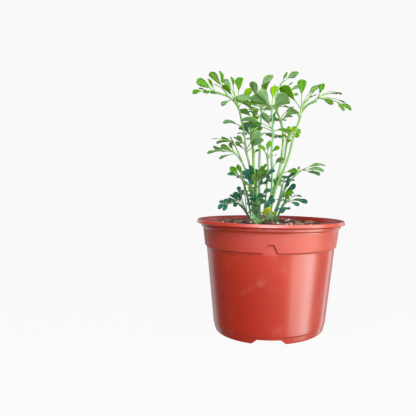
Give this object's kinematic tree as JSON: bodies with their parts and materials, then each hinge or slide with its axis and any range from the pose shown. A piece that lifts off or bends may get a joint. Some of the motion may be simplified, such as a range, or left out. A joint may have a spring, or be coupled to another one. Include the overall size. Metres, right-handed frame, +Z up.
{
  "type": "potted herb",
  "caption": "Young rue plant: slender leafy stems with divided, spoon-tipped leaves standing in soil in a round plastic nursery pot.",
  "frame": {"origin": "middle of the pot's foot, on the surface that the pot stands on", "axes": "+Z up along the stems, -Y towards the viewer of the picture, +X to the viewer's right"},
  "size_m": [0.1466, 0.14, 0.2457],
  "materials": {
    "pot_plastic": "glossy terracotta-red injection-moulded plastic",
    "potting_soil": "dark, crumbly bark and peat mix with pale perlite grains",
    "upper_foliage": "soft matt leaves, fresh green above and paler grey-green below, on pale waxy stems",
    "young_foliage": "soft matt lime-green young leaves on yellow-green stems",
    "low_foliage": "matt dark blue-green leaves with a waxy bloom",
    "yellow_foliage": "soft matt leaf that is turning yellow"
  },
  "bodies": {
    "root": {"pot": "pot_plastic", "soil": "potting_soil", "left_stem": "upper_foliage", "yellow_stem": "young_foliage", "back_stem": "upper_foliage", "centre_stem": "upper_foliage", "inner_right_stem": "upper_foliage", "right_stem": "upper_foliage", "thin_stem": "young_foliage", "left_leaf": "upper_foliage", "right_leaf": "upper_foliage", "low_right_shoot": "low_foliage", "low_left_shoot": "low_foliage", "mid_left_shoot": "low_foliage", "front_shoot": "low_foliage", "soil_leaf": "low_foliage", "yellow_leaf": "yellow_foliage", "rear_left_shoot": "low_foliage", "rear_right_shoot": "low_foliage"}
  },
  "joints": []
}
